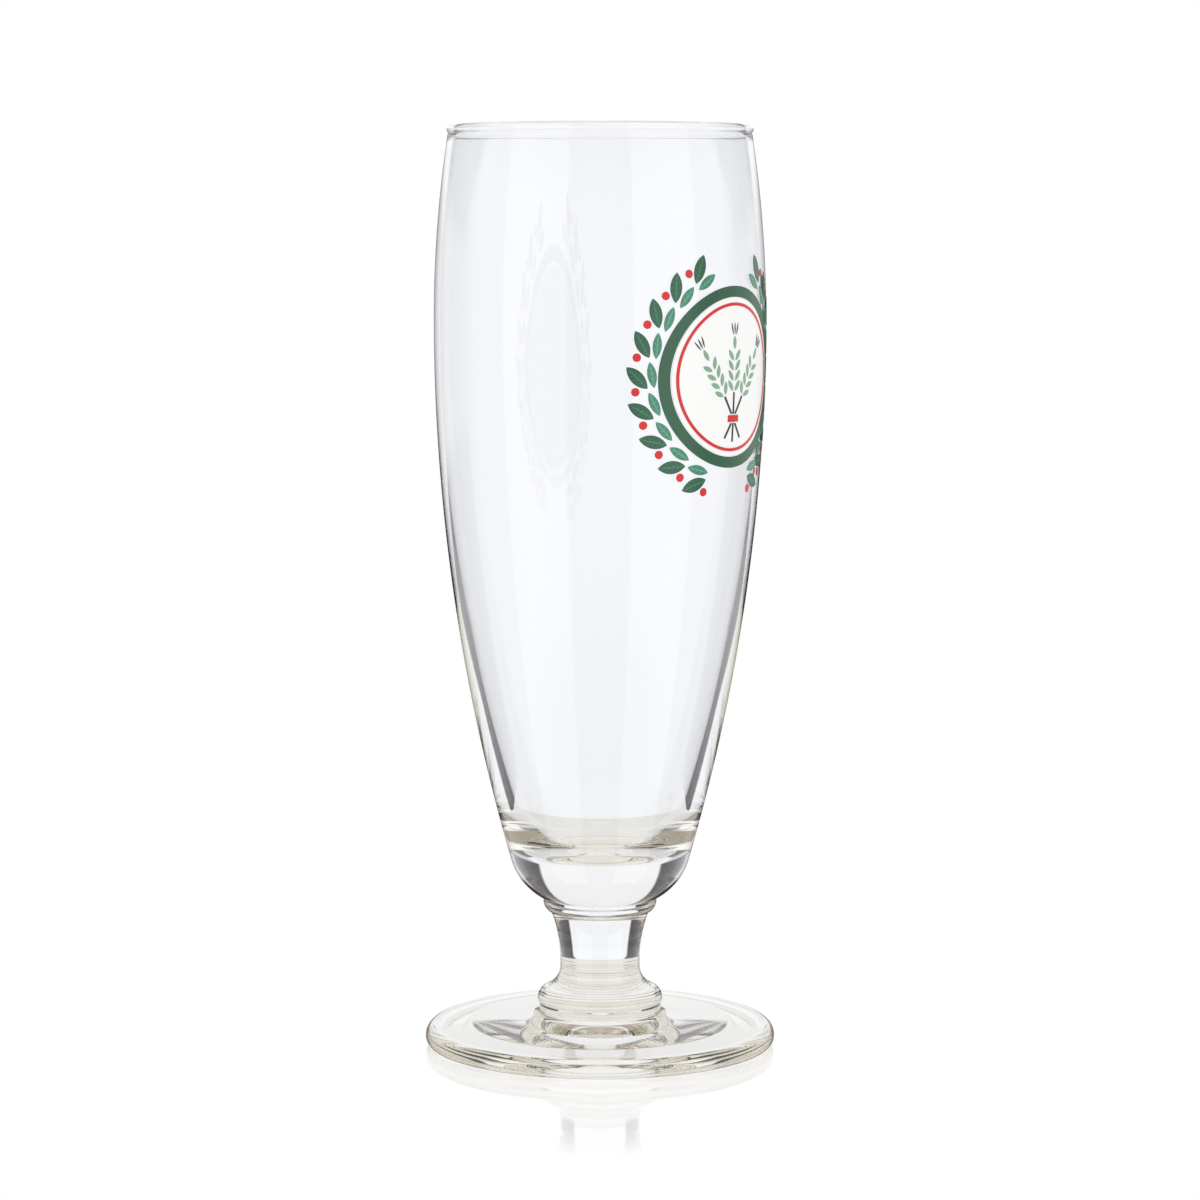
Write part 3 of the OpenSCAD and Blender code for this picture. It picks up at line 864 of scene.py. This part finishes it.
def studio_place(right, deep, up):
    """A place in metres, as the camera sees it from the goblet's axis: right, away and up."""
    x = right * cos(view_turn) - deep * sin(view_turn)
    y = right * sin(view_turn) + deep * cos(view_turn)
    return (x, y, up)


floor_half = 3.0
floor_corners = [(x * floor_half, y * floor_half) for x, y in ((-1, -1), (1, -1), (1, 1), (-1, 1))]
floor_gap = 0.0001
stand_r = 0.108
stand_sides = 96
stand_shade_tone = (0.78, 0.775, 0.76, 1.0)


def flat_piece(name, corners, drop):
    """A flat piece of the studio with its corners as the camera sees them, a little below the goblet."""
    mesh = bpy.data.meshes.new(name)
    mesh.from_pydata([studio_place(*c, -drop) for c in corners], [], [tuple(range(len(corners)))])
    made = bpy.data.objects.new(name, mesh)
    scene.collection.objects.link(made)
    return made


floor = flat_piece("floor", floor_corners, floor_gap)
floor.visible_transmission = False
floor.visible_glossy = False
# Painted shade: a disc of table under the goblet, a little darker than the white floor, which only the rays
# through the glass see.
stand = flat_piece("stand_painted_shade", arc((0, 0), stand_r, 0, 2 * pi, stand_sides)[:-1], 2 * floor_gap)
stand.visible_camera = False
stand.visible_diffuse = False
stand.visible_glossy = False
polish_near = 0.07
polish_far = 0.1
polish_ior = 1.5
polish_rough = 0.02


def floor_material():
    """White lit board with a polish round the goblet's foot, which mirrors it."""
    material = bpy.data.materials.new("white_board")
    material.use_nodes = True
    tree = material.node_tree
    tree.nodes.remove(tree.nodes["Principled BSDF"])
    place = add(tree, "ShaderNodeTexCoord").outputs["Object"]
    far = add(tree, "ShaderNodeVectorMath", {"operation": "LENGTH"})
    tree.links.new(place, far.inputs[0])
    fade = add(tree, "ShaderNodeMapRange", {"interpolation_type": "SMOOTHSTEP"}, Value=far.outputs["Value"],
               From_Min=polish_near, From_Max=polish_far, To_Min=1.0, To_Max=0.0)
    lit = add(tree, "ShaderNodeEmission", Color=white, Strength=1.0)
    shine = add(tree, "ShaderNodeFresnel", IOR=polish_ior).outputs[0]
    mirror = add(tree, "ShaderNodeBsdfGlossy", Color=white, Roughness=polish_rough)
    mix = add(tree, "ShaderNodeMixShader")
    tree.links.new(calc(tree, "MULTIPLY", shine, fade.outputs[0]), mix.inputs[0])
    tree.links.new(lit.outputs[0], mix.inputs[1])
    tree.links.new(mirror.outputs[0], mix.inputs[2])
    tree.links.new(mix.outputs[0], tree.nodes["Material Output"].inputs["Surface"])
    return material


def lit_material(name, tone):
    """A surface that only gives light."""
    material = bpy.data.materials.new(name)
    material.use_nodes = True
    tree = material.node_tree
    tree.nodes.remove(tree.nodes["Principled BSDF"])
    light = add(tree, "ShaderNodeEmission", Color=tone, Strength=1.0)
    tree.links.new(light.outputs[0], tree.nodes["Material Output"].inputs["Surface"])
    return material


floor.data.materials.append(floor_material())
stand.data.materials.append(lit_material("stand_painted_shade", stand_shade_tone))
backdrop = (0.925, 0.935, 0.965, 1.0)
flag_tone = (0.035, 0.03, 0.042, 1.0)
flag_from = radians(32.0)
flag_to = radians(71.0)
flag_wide = radians(15.0)
flag_rise = radians(10.0)
flag_inside = 0.4
flag_through = 0.1
through_faces = 3.5
inside_low = radians(-9.0)
inside_high = radians(4.0)
lean_tone = (0.08, 0.075, 0.09, 1.0)
lean_from = radians(22.0)
lean_rise = radians(-13.0)
lean_rate = 1.75
lean_low = radians(-22.0)
lean_high = radians(-8.0)
room_tone = (0.36, 0.31, 0.25, 1.0)
room_from = radians(86.0)
room_rise = radians(14.0)
edge_from = radians(16.0)
edge_to = radians(46.0)
edge_glow = 0.03
edge_near = radians(5.0)
edge_rise = radians(3.0)
box_from = radians(110.0)
box_to = radians(157.0)
box_tone = (1.0, 1.0, 1.0, 1.0)
box_glow = 1.8
table_shade_tone = (0.8, 0.795, 0.78, 1.0)
table_rise = radians(-30.0)
soft = radians(1.5)
flag_soft = radians(4.0)
table_soft = radians(2.0)


def step_at(tree, value, edge, soft):
    """From 0 to 1 across an edge."""
    return add(tree, "ShaderNodeMapRange", {"interpolation_type": "SMOOTHSTEP"}, Value=value,
               From_Min=edge - soft, From_Max=edge + soft).outputs[0]


def between(tree, value, low, high, low_soft, high_soft):
    """1 between two edges and 0 outside."""
    return calc(tree, "MULTIPLY", step_at(tree, value, low, low_soft),
                step_at(tree, calc(tree, "MULTIPLY", value, -1.0), -high, high_soft))


def blend(tree, share, base, top):
    """A value that goes from one to the other by a share of 0 to 1."""
    return add(tree, "ShaderNodeMapRange", Value=share, To_Min=base, To_Max=top).outputs[0]


def tinted(tree, share, base, top):
    """A colour that goes from one to the other by a share of 0 to 1."""
    return add(tree, "ShaderNodeMix", {"data_type": "RGBA"}, Factor=share, A=base, B=top).outputs["Result"]


def studio_world():
    """White to the camera; the glass sees a room by its turn from straight behind and by its rise."""
    world = bpy.data.worlds.new("studio")
    world.use_nodes = True
    tree = world.node_tree
    way = add(tree, "ShaderNodeTexCoord").outputs["Generated"]
    turned = add(tree, "ShaderNodeVectorRotate", {"rotation_type": "Z_AXIS"}, Vector=way, Angle=-view_turn)
    part = add(tree, "ShaderNodeSeparateXYZ", Vector=turned.outputs[0]).outputs
    turn = calc(tree, "ABSOLUTE", calc(tree, "ARCTAN2", part["X"], part["Y"]))
    rise = calc(tree, "ARCSINE", part["Z"])
    wide = calc(tree, "MULTIPLY", step_at(tree, rise, flag_rise, flag_soft), flag_wide)
    flag = calc(tree, "MULTIPLY", step_at(tree, turn, flag_from, soft),
                step_at(tree, calc(tree, "SUBTRACT", wide, turn), -flag_to, flag_soft))
    path = add(tree, "ShaderNodeLightPath").outputs
    inside = calc(tree, "MULTIPLY", calc(tree, "MINIMUM", path["Glossy Depth"], 1.0),
                  between(tree, rise, inside_low, inside_high, soft, soft))
    flag = calc(tree, "MULTIPLY", flag, blend(tree, inside, 1.0, flag_inside))
    through = calc(tree, "GREATER_THAN", path["Transmission Depth"], through_faces)
    through = calc(tree, "GREATER_THAN", calc(tree, "SUBTRACT", through, path["Glossy Depth"]), 0.5)
    flag = calc(tree, "MULTIPLY", flag, blend(tree, through, 1.0, flag_through))
    room = tinted(tree, flag, backdrop, flag_tone)
    high = calc(tree, "MULTIPLY", step_at(tree, turn, room_from, flag_soft),
                step_at(tree, rise, room_rise, flag_soft))
    box = between(tree, turn, box_from, box_to, soft, soft)
    room = tinted(tree, high, tinted(tree, box, room, box_tone), room_tone)
    off = calc(tree, "ABSOLUTE", calc(tree, "SUBTRACT", rise, lean_rise))
    lean = calc(tree, "SUBTRACT", turn, calc(tree, "MULTIPLY", off, lean_rate))
    low = calc(tree, "MULTIPLY", between(tree, rise, lean_low, lean_high, soft, soft),
               calc(tree, "MULTIPLY", step_at(tree, lean, lean_from, soft),
                    step_at(tree, calc(tree, "MULTIPLY", turn, -1.0), -flag_to, soft)))
    room = tinted(tree, low, room, lean_tone)
    # Painted shade: steeply down through the glass, the table is a little darker than the white floor.
    room = tinted(tree, step_at(tree, rise, table_rise, table_soft), table_shade_tone, room)
    edge = add(tree, "ShaderNodeMapRange", {"interpolation_type": "SMOOTHSTEP"}, Value=turn,
               From_Min=edge_from, From_Max=edge_to, To_Min=edge_glow).outputs[0]
    beside = calc(tree, "MULTIPLY", step_at(tree, turn, edge_near, soft),
                  step_at(tree, calc(tree, "MULTIPLY", rise, -1.0), -edge_rise, soft))
    mirrored = blend(tree, beside, 1.0, edge)
    mirrored = blend(tree, box, mirrored, box_glow)
    bent = path["Is Transmission Ray"]
    plain = calc(tree, "MAXIMUM", path["Is Camera Ray"], calc(tree, "MINIMUM", path["Diffuse Depth"], 1.0))
    bent = calc(tree, "MULTIPLY", bent, calc(tree, "SUBTRACT", 1.0, plain))
    direct = calc(tree, "MAXIMUM", plain, bent)
    wire(tree, tree.nodes["Background"], "Color", tinted(tree, bent, white, room))
    wire(tree, tree.nodes["Background"], "Strength", blend(tree, direct, mirrored, 1.0))
    return world


scene.world = studio_world()
scene.view_settings.view_transform = "Standard"
glass_bounces = 64
scene.cycles.max_bounces = glass_bounces
scene.cycles.transmission_bounces = glass_bounces
scene.cycles.glossy_bounces = glass_bounces
scene.cycles.transparent_max_bounces = 32

# The camera, at the photograph's angle: a long lens a little above the belly, looking slightly down.
# Its distance, height and dip were fitted to the outlines of rim, belly, stem and foot.
camera_far = 0.7454
camera_up = 0.1669
camera_dip = 0.1003
frame_px = 1200
focal_px = 3660
lens = bpy.data.cameras.new("camera")
lens.sensor_width = 36.0
lens.lens = focal_px / frame_px * lens.sensor_width
lens.clip_start = 0.01
camera = bpy.data.objects.new("camera", lens)
camera.location = studio_place(0.0, -camera_far, camera_up)
camera.rotation_euler = (pi / 2 - camera_dip, 0.0, view_turn)
scene.collection.objects.link(camera)
scene.camera = camera
